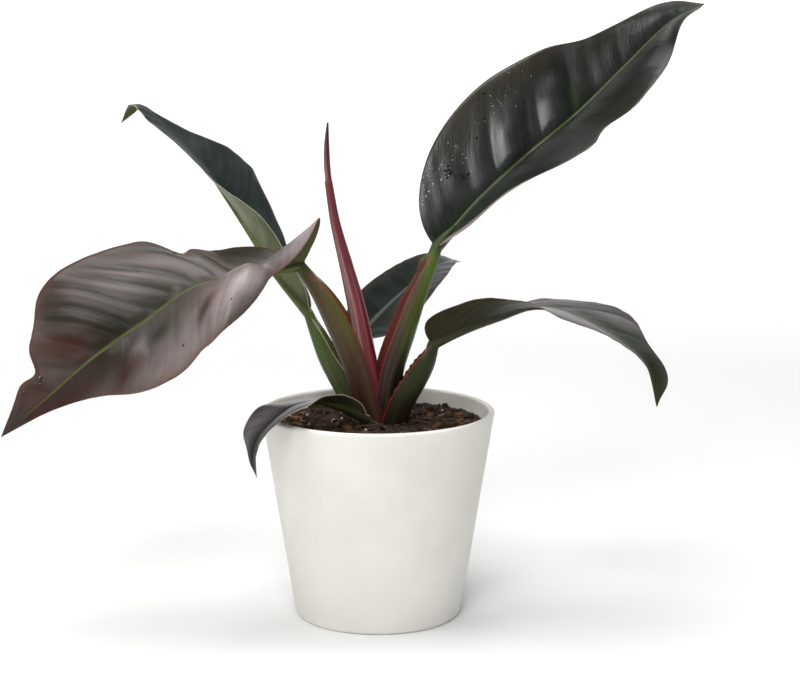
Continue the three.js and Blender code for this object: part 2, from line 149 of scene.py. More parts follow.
WIDE_LEFT = dict(
    name="wide_left",
    midrib=[(-46, -4, 212), (-78, -16, 207), (-105, -27, 203), (-133, -40, 185), (-160, -54, 167),
        (-186, -66, 145), (-210, -76, 125)],
    face=[(-0.2, -0.35, 0.9), (-0.1, -0.6, 0.78), (-0.1, -0.81, 0.7), (-0.1, -0.81, 0.7)],
    right=dict(width=[0, 20, 42, 47, 57, 53, 34, 16, 0], rise=[40, 20, 0, 5, 12, 20, 20, 20, 20],
        curl=[-10], sweep=[-0.3, 0.1, 0.3, 0.4, 0.4],
        nicks=[(0.22, 13, 16), (0.285, 11, 5), (0.312, -3, 6), (0.6, -4, 14), (0.78, 7, 7)],
        cells_end=1.05,
        cells=[(20, 0.4), (36, 0.9), (50, 1.2), (68, 1.7), (80, 1.6), (95, 2), (110, 1.5), (120, 0.9),
            (134, 0.9), (150, 0.4), (166, 0)]),
    left=dict(width=[0, 37, 32, 51, 46, 38, 22, 8, 0], rise=[95, 95, 122, 55, 8, -12, -45, -60, -60],
        curl=[-10, -30, -200, -100, -20, 0, 0, 0, 0],
        sweep=[-0.9, -0.7, -0.32, 0.15, 0.3, 0.3, 0.3, 0.3, 0.3],
        nicks=[(0.055, 3, 5), (0.135, 9, 7), (0.22, -5, 9), (0.38, 4, 12)], cells_end=0.8,
        cells=[(64, 0.3), (82, 0.5), (100, 0.4), (118, 0.5), (135, 0.3), (150, 0)]),
    waves=[(3.5, 2, 0.1, 1)],
    dents=[(57, -25, 10, 5, -1.4), (95, -12, 8, 5, -1.3), (107, -13, 7, 5, 1.4), (117, -19, 8, 7, -1.4)],
    pale=[(40, -30, 40, 22, 0.9), (48, 24, 24, 26, 0.3), (80, 30, 20, 14, 0.3), (100, -32, 26, 12, 0.4),
        (107, -12, 6, 4, 0.5), (125, -20, 20, 6, 0.3)],
    # Painted highlights on the upturned basal lobe and the near half, and a painted glint near the tip.
    painted_highlight=[(-40, -32, 34, 24, 0.8), (18, -32, 14, 10, 0.5), (195, -3, 5, 2, 0.6)],
    warm=[(136, 18, 14, 14, 1), (117, -19, 10, 7, 0.8), (174, 0, 24, 20, 0.8), (150, -12, 20, 9, 0.6),
        (57, -25, 9, 5, 0.5), (100, 44, 30, 8, 0.4)],
    deep=[(4, 26, 18, 14, 0.6), (122, 8, 18, 9, 1), (88, 6, 9, 8, 0.6), (95, -12, 9, 5, 0.7),
        (57, -25, 9, 5, 0.6)],
    stalk=dict(line=[(-1, -6, 110), (-12, -7, 150), (-19, -7, 169), (-27, -6, 186), (-35, -5, 199),
        (-46, -4, 212)], face=[(0.85, 0, 0.45), (0.75, 0, 0.65)], width=[19, 19, 18, 18, 14, 8],
        depth=[16, 16, 16, 15, 12, 7], wing=[1, 1, 1, 0.8, 0.5, 0]),
)
BACK_LEFT = dict(
    name="back_left",
    midrib=[(-42, 18, 180), (-62, 28, 203), (-77, 37, 225), (-92, 44, 247), (-109, 51, 270),
        (-131, 59, 290), (-148, 64, 303), (-160, 66, 291)],
    face=[(0.74, 0, 0.67), (0.74, 0, 0.67), (0.5, 0, 0.8), (-0.2, 0.5, 0.8)],
    right=dict(width=[0, 14, 24, 32, 39, 36, 12, 7, 0], rise=[40, 30, 25, 22, 22, 22, 15, 0, -20],
        nicks=[(0.44, -4, 8), (0.79, 5, 10)], cells_end=0.8,
        cells=[(10, 0.3), (30, 0.5), (45, 0.6), (62, 0.5), (80, 0.5), (98, 0.4), (120, 0)]),
    left=dict(width=[0, 12, 20, 28, 29, 22, 13, 11, 0], rise=[65, 58, 48, 32, 12, 2, -6, -20, -40],
        nicks=[(0.72, -5, 14)]),
    waves=[(2.5, 1.5, 0.1, 1)],
    stalk=dict(line=[(-6, 7, 110), (-21, 12, 138), (-29.5, 15, 153), (-36, 17, 167), (-42, 18, 180)],
        face=[(0.85, -0.15, 0.45)], width=[16, 16, 14, 12, 7], depth=[14, 14, 13, 10, 6],
        wing=[1, 1, 0.8, 0.6, 0]),
)
BACK_MIDDLE = dict(
    name="back_middle",
    midrib=[(-13, 22, 164), (-1, 50, 173), (13, 79, 182), (29, 108, 191), (43, 132, 196), (54, 146, 194)],
    face=[(0, -0.1, 0.95)],
    right=dict(width=[0, 14, 21, 25, 24, 20, 13, 7, 0], rise=[0, -5, 5, 12, 10, 5, 5],
        nicks=[(0.9, 2, 2), (0.94, -2, 2)]),
    left=dict(width=[0, 10, 18, 21, 22, 21, 19, 15, 0], rise=[20, 20, 18, 15, 12, 10, 10],
        nicks=[(0.91, -3, 3), (0.95, 3, 1.5), (0.97, -3, 2)]),
    pale=[(55, 14, 40, 10, 0.35), (110, 5, 20, 14, 0.5)],
    warm=[(144, 0, 4, 8, 1)],
    stalk=dict(line=[(-1, 7, 110), (-5, 12, 130), (-9, 16, 146), (-13, 22, 164)],
        face=[(0.2, -0.8, 0.5)], width=[16, 15, 12, 7], depth=[12, 11, 9, 6], wing=[1, 0.8, 0.5, 0]),
)
ARCHING_RIGHT = dict(
    name="arching_right", lean=1.7,
    midrib=[(33, -14, 167), (51, -18, 176), (71, -22, 184), (91, -26, 191), (113, -32, 188),
        (137, -38, 176), (155, -46, 160), (160, -50, 137)],
    face=[(-0.4, -0.1, 0.9), (0.2, -0.15, 0.9), (0.7, -0.15, 0.6)],
    right=dict(width=[0, 18, 23, 26, 26, 25, 19, 10, 0], rise=[70, 66, 58, 46, 22, 5, 8, 8, 5],
        sweep=[-0.5, 0, 0.25, 0.25, 0.3]),
    left=dict(width=[0, 18, 24, 26, 25, 25, 24, 10, 0], rise=[20, 10, 0, -8, -8, 2, 22, 30, 30],
        nicks=[(0.77, 3, 9), (0.91, -7, 10)], cells_end=1,
        cells=[(14, 0.5), (28, 0.9), (39, 0.7), (53, 1.3), (65, 0.8), (79, 1.3), (92, 0.8), (108, 1),
            (128, 0)]),
    pale=[(30, -14, 12, 12, 0.5), (62, -10, 10, 16, 0.9), (90, -14, 8, 14, 0.6), (85, 8, 40, 14, 0.8)],
    deep=[(150, 0, 26, 20, 0.8), (104, -4, 34, 5, 0.5)],
    stalk=dict(line=[(7, -9, 110), (15, -12, 133), (22, -13, 145), (28, -14, 156), (33, -14, 167)],
        face=[(-0.85, 0.05, 0.45)], width=[16, 18, 16.5, 14, 7], depth=[14, 15, 14, 12, 7],
        wing=[1, 1, 1, 0.8, 0], teeth=(0.7, 11)),
)
LOW_LEFT = dict(
    name="low_left",
    midrib=[(-7, -20, 123), (-21, -29, 132), (-35, -38, 137.5), (-47, -47, 137), (-58, -54, 131),
        (-67, -61, 122), (-70, -64, 110), (-68, -66, 99)],
    face=[(-0.1, 0.1, 1), (-0.2, 0, 1), (-0.8, -0.3, 0.4)],
    right=dict(width=[0, 8, 13, 16, 17, 17, 14, 5, 0], rise=[0, 12, 14, 2, 0, 20, 15, 15, 15]),
    left=dict(width=[0, 7, 9, 10, 12, 10, 9, 5, 0], rise=[78, 72, 55, 22, 0, 0, 5, 5, 5]),
    pale=[(70, 10, 20, 8, 0.7), (52, -4, 22, 3, 0.7)],
    deep=[(35, 0, 25, 4, 0.8), (84, -2, 18, 9, 1)],
    stalk=dict(line=[(-2, -12, 110), (-4, -17, 119), (-7, -20, 123)], face=[(0, 0, 1)],
        width=[12, 9, 6], depth=[8, 6, 5], wing=[0.4, 0.2, 0]),
)
LEAVES = [TALL_RIGHT, WIDE_LEFT, BACK_LEFT, BACK_MIDDLE, ARCHING_RIGHT, LOW_LEFT]

SHEATH = dict(
    line=[(0, 0, 110), (-3.4, 0, 135), (-8, 0, 161), (-12.6, 0, 186), (-18.6, 0, 211), (-25, 0, 237),
        (-29, 0, 262)],
    face=[(-0.3, -0.9, 0)], wing=[0], lap=(0.14, 0.53),
    width=[12.5, 12.5, 12.2, 11, 8.4, 6, 4.6], depth=[11.5, 11.5, 11, 10, 8, 5.8, 4.6],
)
ROLLED_LEAF = dict(
    line=[(-28.2, 0, 257), (-29.5, 0, 270), (-29.7, 0, 283), (-29, 0, 296)],
    face=[(-0.3, -0.9, 0)], wing=[0], lap=(0.12, 0.48),
    width=[3.9, 3.8, 3, 1], depth=[3.9, 3.8, 3, 1],
)


def between(a, b, c, d, f):
    """The place between b and c, at share f, on the smooth curve through four points."""
    return 0.5 * (2 * b + (c - a) * f + (2 * a - 5 * b + 4 * c - d) * f**2 + (3 * b - a - 3 * c + d) * f**3)


def smooth(rows, share):
    """A value or point on a smooth curve through evenly spaced rows, with share from 0 to 1."""
    rows = np.asarray(rows, float)
    last = len(rows) - 1
    if last == 0:
        return rows[0]
    place = min(max(share, 0), 1) * last
    i = min(int(place), last - 1)
    f = place - i
    b, c = rows[i], rows[i + 1]
    a = rows[i - 1] if i > 0 else 2 * b - c
    d = rows[i + 2] if i + 2 <= last else 2 * c - b
    return between(a, b, c, d, f)


def unit(vector):
    return vector / np.linalg.norm(vector)


def place_on(line, face, share):
    """Where a line is at a share of its length, with its directions: along, up towards its face, right."""
    step = 0.001
    along = unit(smooth(line, min(share + step, 1)) - smooth(line, max(share - step, 0)))
    up = smooth(face, share)
    up = unit(up - up.dot(along) * along)
    return smooth(line, share), along, up, np.cross(along, up)


def line_length(line):
    points = np.array([smooth(line, t) for t in np.linspace(0, 1, 60)])
    return np.linalg.norm(np.diff(points, axis=0), axis=1).sum()


def ease(x):
    """0 to 1 with flat ends."""
    x = np.clip(x, 0, 1)
    return x * x * (3 - 2 * x)


def puffed(cells, vein):
    """How high a blade stands between its side veins: rounded cells with a crease at each end."""
    height = np.zeros_like(vein)
    for (start, tall), (end, _) in zip(cells, cells[1:]):
        height += tall * np.sin(np.pi * np.clip((vein - start) / (end - start), 0, 1)) ** 0.8
    return height


def creased(cells, vein):
    """How near a point is to the side vein between two cells, where 1 is on it."""
    near = np.zeros_like(vein)
    for start, tall in cells[1:-1]:
        near = np.maximum(near, min(tall, 1) * np.exp(-(((vein - start) / CREASE_WIDTH) ** 2)))
    return near


def spots(leaf, kind, vein, reach):
    """The sum of a leaf's soft spots of one kind, where reach is below 0 left of the midrib."""
    total = np.zeros_like(vein)
    for at, off, long, wide, strength in leaf.get(kind, []):
        total += strength * np.exp(-(((vein - at) / long) ** 2) - ((reach - off) / wide) ** 2)
    return total


def shrunk(least, whole):
    """From least to 1 while whole goes from 0 to 1."""
    return least + (1 - least) * whole


def half_sheet(leaf, side, row, length):
    """One row of half a blade: points, normals and the fields that its material reads."""
    half = leaf["right"] if side > 0 else leaf["left"]
    share = row**ROW_CROWDING
    at, along, up, right = place_on(leaf["midrib"], leaf["face"], share)
    tip = ease((1 - row) * TIP_TAPER)
    rib = smooth(RIB_HALF_WIDTH, row) * shrunk(0.2, tip)
    width = smooth(half["width"], row)
    for spot, depth, reach in half.get("nicks", []):
        width -= depth * math.exp(-(((share - spot) * length / reach) ** 2))
    width = max(width, rib + LEAST_MARGIN * tip + 0.02)
    rise = math.radians(smooth(half["rise"], row))
    curl = math.radians(smooth(half.get("curl", [0]), row))
    outer = np.linspace(rib, width, BLADE_COLUMNS + 1)[1:]
    reach = np.concatenate([np.linspace(0, rib, RIB_COLUMNS), outer])
    out = reach / width
    slope = (rise + curl * out) * ease(reach / (rib * 0.9) + 0.15)
    middle = (slope[1:] + slope[:-1]) / 2
    steps = np.diff(reach)
    across = np.concatenate([[0], np.cumsum(np.cos(middle) * steps)])
    height = np.concatenate([[0], np.cumsum(np.sin(middle) * steps)])
    ahead = smooth(half.get("sweep", SWEEP), row) * reach
    point = at + np.outer(across, side * right) + np.outer(height, up) + np.outer(ahead, along)
    normal = np.outer(np.cos(slope), up) - np.outer(np.sin(slope), side * right)
    for count, size, start, only in leaf.get("waves", []):
        if only == side:
            turn = 2 * np.pi * (count * (share + 0.15 * out) + start)
            point += normal * (size * math.sqrt(4 * share * (1 - share)) * out**1.5 * np.sin(turn))[:, None]
    vein = share * length + ahead - reach * (leaf.get("lean", VEIN_LEAN) + VEIN_BOW * out)
    body = ease(reach / 6) * ease((half.get("cells_end", 1) - out) * 2.5)
    cells = half.get("cells", [])
    lift = puffed(cells, vein) * body
    uneven = np.sin(vein / 2.1 + 1.6 * np.sin(vein / 11) + reach / 9) * np.sin(vein / 17 + reach / 13 + side)
    lift += leaf.get("uneven", UNEVEN) * uneven * ease(out * 4) * ease((1 - share) * 4)
    lift += spots(leaf, "dents", vein, side * reach) * ease(reach / 5)
    point += normal * lift[:, None]
    fields = {
        "along": np.full(len(out), share),
        "reach": reach * side,
        "edge": width - reach,
        "vein": vein,
        "rib": np.clip(1 - reach / rib, 0, 1),
        # The crease field places the painted shade along the creases between cells.
        "crease": creased(cells, vein) * body,
    }
    for kind in SPOT_KINDS:
        fields[kind] = np.clip(spots(leaf, kind, vein, side * reach), 0, 1)
    return point, normal, fields


def blade_arrays(leaf):
    """Both faces of a blade as grids of points, and its fields as grids."""
    length = line_length(leaf["midrib"])
    upper, lower, fields = [], [], []
    for i in range(BLADE_ROWS + 1):
        row = i / BLADE_ROWS
        tip = ease((1 - row) * TIP_TAPER)
        rib_depth = smooth(RIB_DEPTH, row) * shrunk(0.1, tip)
        left, left_normal, left_fields = half_sheet(leaf, -1, row, length)
        right, right_normal, right_fields = half_sheet(leaf, 1, row, length)
        point = np.concatenate([left[::-1], right[1:]])
        normal = np.concatenate([left_normal[::-1], right_normal[1:]])
        both = {k: np.concatenate([left_fields[k][::-1], right_fields[k][1:]]) for k in left_fields}
        thin = BLADE_THICKNESS / 2 * shrunk(0.45, ease(both["edge"] / 4)) * shrunk(0.3, tip)
        groove = GROOVE * rib_depth / RIB_DEPTH[0] * ease(both["rib"])
        keel = rib_depth * np.sqrt(1 - (1 - both["rib"]) ** 2)
        upper.append(point + normal * (thin - groove)[:, None])
        lower.append(point - normal * (thin + keel)[:, None])
        fields.append(both)
    grids = {k: np.array([row[k] for row in fields]) for k in fields[0]}
    return np.array(upper), np.array(lower), grids


def new_object(name, data):
    made = bpy.data.objects.new(name, data)
    bpy.context.scene.collection.objects.link(made)
    return made


def mesh_object(name, points, faces, fields=None):
    """A mesh in millimetres as an object in metres, with each field as a vertex attribute."""
    mesh = bpy.data.meshes.new(name)
    mesh.from_pydata((np.asarray(points) * MM).tolist(), [], faces)
    for key, values in (fields or {}).items():
        attribute = mesh.attributes.new(key, "FLOAT", "POINT")
        attribute.data.foreach_set("value", np.asarray(values, np.float32).ravel())
    mesh.polygons.foreach_set("use_smooth", [True] * len(mesh.polygons))
    mesh.update()
    return new_object(name, mesh)


def closed_faces(rows, columns):
    """The faces of a closed skin between two sheets with this many rows and columns of points."""
    top = np.arange(rows * columns).reshape(rows, columns)
    bottom = top + rows * columns
    faces = []
    for sheet, turned in ((top, False), (bottom, True)):
        a, b, c, d = sheet[:-1, :-1], sheet[:-1, 1:], sheet[1:, 1:], sheet[1:, :-1]
        corners = (a, d, c, b) if turned else (a, b, c, d)
        faces += np.stack(corners, -1).reshape(-1, 4).tolist()
    rim = np.concatenate([top[0], top[1:, -1], top[-1, -2::-1], top[-2:0:-1, 0]])
    following = np.roll(rim, -1)
    faces += np.stack([rim, rim + rows * columns, following + rows * columns, following], -1).tolist()
    return faces


def ring_faces(rings, sides, first=0):
    """The faces between rings of points, the lowest ring first, from the given point's number on."""
    faces = []
    for low in range(first, first + (rings - 1) * sides, sides):
        for k in range(sides):
            n = (k + 1) % sides
            faces.append([low + k, low + n, low + sides + n, low + sides + k])
    return faces


def circle(radius, height, sides):
    """Points round the axis. The radius is one value, or one for each point."""
    turn = 2 * np.pi * np.arange(sides) / sides
    return np.stack([radius * np.cos(turn), radius * np.sin(turn), np.full(sides, height)], -1)


def ringed_solid(name, first, last, rings, downward=False):
    """A closed solid of rings round the axis, with the heights of the axis points that close its ends."""
    sides = len(rings[0])
    final = 2 + (len(rings) - 1) * sides
    steps = [(k, (k + 1) % sides) for k in range(sides)]
    faces = [[0, 2 + n, 2 + k] for k, n in steps] + ring_faces(len(rings), sides, 2)
    faces += [[1, final + k, final + n] for k, n in steps]
    if downward:
        faces = [[f[0], *f[:0:-1]] for f in faces]
    return mesh_object(name, np.concatenate([[(0, 0, first), (0, 0, last)], *rings]), faces)


def coat(piece, material):
    piece.data.materials.append(material)


def settle(piece, node=None):
    """The piece hangs under the root body and stands for the node that is given, whose part from the model
    is hidden.
    """
    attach(piece, "root")
    if node:
        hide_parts(node)
    return piece


def make_blade(leaf):
    upper, lower, grids = blade_arrays(leaf)
    rows, columns = upper.shape[:2]
    points = np.concatenate([upper.reshape(-1, 3), lower.reshape(-1, 3)])
    fields = {k: np.tile(v.ravel(), 2) for k, v in grids.items()}
    fields["over"] = np.repeat([1, 0], rows * columns)
    piece = mesh_object("leaf_" + leaf["name"], points, closed_faces(rows, columns), fields)
    return settle(piece, "blade_" + leaf["name"])


def section_points(section, sides):
    """A closed smooth outline through the section's points."""
    closed = np.array(section, float)
    around = []
    for k in range(sides):
        place = k * len(closed) / sides
        i = int(place)
        around.append(between(*(closed[(i + j) % len(closed)] for j in (-1, 0, 1, 2)), place - i))
    return np.array(around)


def make_stalk(name, stalk, node, leaf=None):
    """A stalk swept along its line, closed at both ends. With a leaf it runs on a little into the midrib."""
    winged = section_points(WINGED, STALK_SIDES)
    part = np.arange(STALK_SIDES) / STALK_SIDES
    step = part * len(WINGED)
    right_half = step < len(WINGED) / 2
    around = np.minimum(step, len(WINGED) - step) / WING_STEP
    edge_band, ear_band = (np.clip(1 - np.abs(around - 1) / band, 0, 1) for band in (EDGE_BAND, EAR_BAND))
    round_section = np.stack([np.sin(2 * np.pi * part), -np.cos(2 * np.pi * part)], -1)
    length = line_length(stalk["line"])
    points, fields = [], {"along": [], "turn": [], "around": [], "wing": []}

    lap, seam = stalk.get("lap", (0, 0))
    rolled = 1 + lap * ((part - seam) % 1 - 0.5)
    tooth_height, tooth_count = stalk.get("teeth", (0, 1))
    ear_share, ear_height = stalk.get("ear", (0, 0))

    def add_ring(at, up, right, wing, wide, deep, share):
        section = (round_section + (winged - round_section) * wing) * rolled[:, None]
        tooth = abs(math.sin(tooth_count * math.pi * share)) ** 3
        section[:, 1] += tooth_height / deep * edge_band * wing * tooth
        peak = ear_height / deep * max(0, 1 - abs(share - ear_share) / EAR_LENGTH)
        section[:, 1] += peak * ear_band * ~right_half
        points.append(at + np.outer(section[:, 0] * wide, right) + np.outer(section[:, 1] * deep, up))
        fields["along"].append(np.full(STALK_SIDES, share))
        fields["turn"].append(np.where(right_half, 1, -1) * np.abs(section[:, 0]))
        fields["around"].append(around * shrunk(0.3, wing))
        fields["wing"].append(edge_band * ease(wing * 4))

    end = 1 if leaf else 1 - END_GAP / length
    for i in range(STALK_ROWS + 1):
        share = i / STALK_ROWS * end
        at, along, up, right = place_on(stalk["line"], stalk["face"], share)
        wing = np.clip(smooth(stalk["wing"], share), 0, 1)
        wide, deep = smooth(stalk["width"], share) / 2, smooth(stalk["depth"], share) / 2
        add_ring(at, up, right, wing, wide, deep, share)
    if leaf:
        reach = line_length(leaf["midrib"])
        for i in range(1, NECK_ROWS + 1):
            share = i / NECK_ROWS
            at, along = place_on(leaf["midrib"], leaf["face"], NECK_LENGTH * share / reach)[:2]
            up = unit(up - up.dot(along) * along)
            slim = math.cos(share * math.pi / 2) ** 0.7 if share < 1 else NECK_END
            add_ring(at, up, np.cross(along, up), 0, wide * slim, deep * slim, 1 + 0.1 * share)
    faces = ring_faces(len(points), STALK_SIDES)
    faces.append(list(range(STALK_SIDES - 1, -1, -1)))
    faces.append(list(range((len(points) - 1) * STALK_SIDES, len(points) * STALK_SIDES)))
    flat = {k: np.concatenate(v) for k, v in fields.items()}
    piece = mesh_object(name, np.concatenate(points), faces, flat)
    return settle(piece, node)


def arc(centre, radius, start, end, count):
    angles = np.radians(np.linspace(start, end, count))
    return [(centre[0] + radius * math.cos(a), centre[1] + radius * math.sin(a)) for a in angles]


def pot_radius(height):
    """The outer radius of the pot's wall."""
    return POT_FOOT_RADIUS + (POT_RIM_RADIUS - POT_FOOT_RADIUS) * height / POT_HEIGHT


def make_pot():
    profile = [(POT_FOOT_RADIUS - 3, 0)]
    profile += arc((POT_FOOT_RADIUS - 2, 2), 2, -90, 0, 6)
    profile += [(pot_radius(z), z) for z in np.linspace(6, POT_HEIGHT - 4, 12)]
    profile += arc((POT_RIM_RADIUS - POT_LIP - 0.2, POT_HEIGHT - POT_LIP), POT_LIP, 0, 180, 10)
    profile += [(pot_radius(z) - POT_WALL, z) for z in np.linspace(POT_HEIGHT - 6, POT_FLOOR + 2, 6)]
    rings = [circle(radius, height, POT_SIDES) for radius, height in profile]
    return settle(ringed_solid("pot_body", 0, POT_FLOOR, rings), "pot")


def soil_height(x, y):
    """The soil's top: a low mound round the stem, and gentle unevenness."""
    mound = SOIL_RISE * np.exp(-(((np.hypot(x, y) - STEM_RADIUS) / 14) ** 2))
    uneven = np.sin(0.31 * x + 1.2) * np.cos(0.27 * y) + 0.6 * np.sin(0.63 * x - 0.52 * y)
    return SOIL_LEVEL + mound + 0.48 * uneven


def grain(x, y, seed):
    """Rough unevenness of a few sizes, from -1 to 1, as loose potting mix has."""
    total = 0
    for i, size in enumerate((9, 5, 2.9, 1.7)):
        turn = 1.1 * i + seed
        u = (x * math.cos(turn) + y * math.sin(turn)) * 2 * math.pi / size
        v = (y * math.cos(turn * 1.7) - x * math.sin(turn * 1.7)) * 2 * math.pi / size
        ripple = np.sin(u + 1.3 * np.sin(v * 0.7 + seed)) * np.sin(v + 1.1 * np.sin(u * 0.6))
        total = total + ripple / (1 + 0.5 * i)
    return total / 2.2


def make_soil():
    """The filled pot's soil: a closed body with a crumbly top."""
    rim = pot_radius(SOIL_LEVEL) - POT_WALL - SOIL_GAP
    rings = []
    for i in range(1, SOIL_RINGS + 1):
        radius = rim * i / SOIL_RINGS
        ring = circle(radius, 0, SOIL_SIDES)
        x, y = ring[:, 0], ring[:, 1]
        ring[:, 2] = soil_height(x, y) + 0.55 * grain(x, y, 0.4) * min(1, (rim - radius) / 3 + 0.3)
        rings.append(ring)
    for height in (90, 50, SOIL_BOTTOM):
        rings.append(circle(pot_radius(height) - POT_WALL - SOIL_GAP, height, SOIL_SIDES))
    piece = ringed_solid("soil_body", soil_height(0, 0), SOIL_BOTTOM, rings, downward=True)
    return settle(piece, "soil")


def unit_ball():
    made = bmesh.new()
    bmesh.ops.create_icosphere(made, subdivisions=2, radius=1)
    points = np.array([v.co[:] for v in made.verts])
    faces = [[v.index for v in f.verts] for f in made.faces]
    made.free()
    return points, faces


BALL, BALL_FACES = unit_ball()


def joined_balls(name, bodies, tints):
    """Balls of their own shapes as one object, each with its own tint."""
    size = len(bodies[0])
    faces = [[k + i * size for k in f] for i in range(len(bodies)) for f in BALL_FACES]
    return mesh_object(name, np.concatenate(bodies), faces, {"tint": np.repeat(tints, size)})


def scatter_bits(name, count, size, shape, seed, free_radius):
    """Loose bits half sunk in the soil's top, each a lumpy ball of its own shape and turn."""
    random = np.random.default_rng(seed)
    bodies, tints = [], []
    rim = pot_radius(SOIL_LEVEL) - POT_WALL - 1
    while len(bodies) < count:
        turn = random.uniform(0, 2 * np.pi)
        radius = math.sqrt(random.uniform(free_radius**2, rim**2))
        long = size[0] * (size[1] / size[0]) ** random.uniform()
        if radius + long > rim:
            continue
        x, y = radius * math.cos(turn), radius * math.sin(turn)
        lump = 1 + 0.16 * np.sin(BALL @ random.normal(size=3) * 3 + 1)
        lump += 0.1 * np.sin(BALL @ random.normal(size=3) * 6)
        body = BALL * lump[:, None] * long * np.array(shape) * random.uniform(0.7, 1.2, size=3)
        lying = np.array(Quaternion(unit(random.normal(size=4))).to_matrix())
        lean = random.uniform(-0.35, 0.35, size=2)
        if shape[2] < FLAT_BIT:
            lying = np.array([[1, 0, -lean[0]], [0, 1, -lean[1]], [*lean, 1]])
        body = body @ lying.T @ np.array(Matrix.Rotation(random.uniform(0, 2 * np.pi), 3, "Z")).T
        sink = random.uniform(0.1, 0.5) * body[:, 2].max()
        bodies.append(body + [x, y, soil_height(x, y) + sink])
        tints.append(random.uniform())
    return settle(joined_balls(name, bodies, tints))


def on_leaf(leaf, share, reach):
    """A point of a blade's upper face, at a share of the midrib and a distance from it, and its normal."""
    row = share ** (1 / ROW_CROWDING)
    point, normal, fields = half_sheet(leaf, 1 if reach > 0 else -1, row, line_length(leaf["midrib"]))
    k = np.abs(np.abs(fields["reach"]) - abs(reach)).argmin()
    return point[k] + normal[k] * BLADE_THICKNESS / 2, normal[k]


def sprinkle(name, places, flat, lumpy, seed):
    """Small beads lying on the leaves, each at (leaf, share, reach, radius)."""
    random = np.random.default_rng(seed)
    bodies, tints = [], []
    for leaf, share, reach, radius in places:
        at, up = on_leaf(leaf, share, reach)
        side = unit(np.cross(up, random.normal(size=3)))
        lump = 1 + lumpy * np.sin(BALL @ random.normal(size=3) * 3)
        body = BALL * lump[:, None] * radius * [1, random.uniform(0.75, 1), flat]
        bodies.append(at + body @ np.array([side, np.cross(up, side), up]))
        tints.append(random.uniform())
    return settle(joined_balls(name, bodies, tints))


def scattered(leaf, middle, spread, count, sizes, seed):
    """Places round a middle (share, reach) on a leaf, for beads of these sizes."""
    random = np.random.default_rng(seed)
    places = []
    for _ in range(count):
        share, reach = random.normal(middle, spread)
        places.append((leaf, np.clip(share, 0.03, 0.97), reach, random.uniform(*sizes)))
    return places


def make_stem():
    """The stump that the stalks rise from, with the rings of old leaf scars."""
    turn = 2 * np.pi * np.arange(STEM_SIDES) / STEM_SIDES
    profile = [(STEM_RADIUS - 3, STEM_BOTTOM), (STEM_RADIUS - 0.5, 86)]
    profile += [(STEM_RADIUS - 0.4 + 0.4 * math.sin(z * 1.1), z) for z in np.linspace(88, 117.5, 24)]
    profile += [(STEM_RADIUS - 1.2, 118.8), (STEM_RADIUS - 3.5, 119.6), (STEM_RADIUS - 9, 119.8)]
    profile.append((4, STEM_TOP))
    rings = []
    for radius, height in profile:
        wobble = 1 + 0.012 * np.sin(3 * turn + height * 0.2) + 0.008 * np.sin(7 * turn - height * 0.3)
        rings.append(circle(radius * wobble, height, STEM_SIDES))
    return settle(ringed_solid("stem_body", STEM_BOTTOM, STEM_TOP, rings), "stem")


def colour(red, green, blue):
    """A colour from screen values of 0 to 255."""
    linear = [((c / 255 + 0.055) / 1.055) ** 2.4 if c > 10 else c / 255 / 12.92 for c in (red, green, blue)]
    return (*linear, 1)


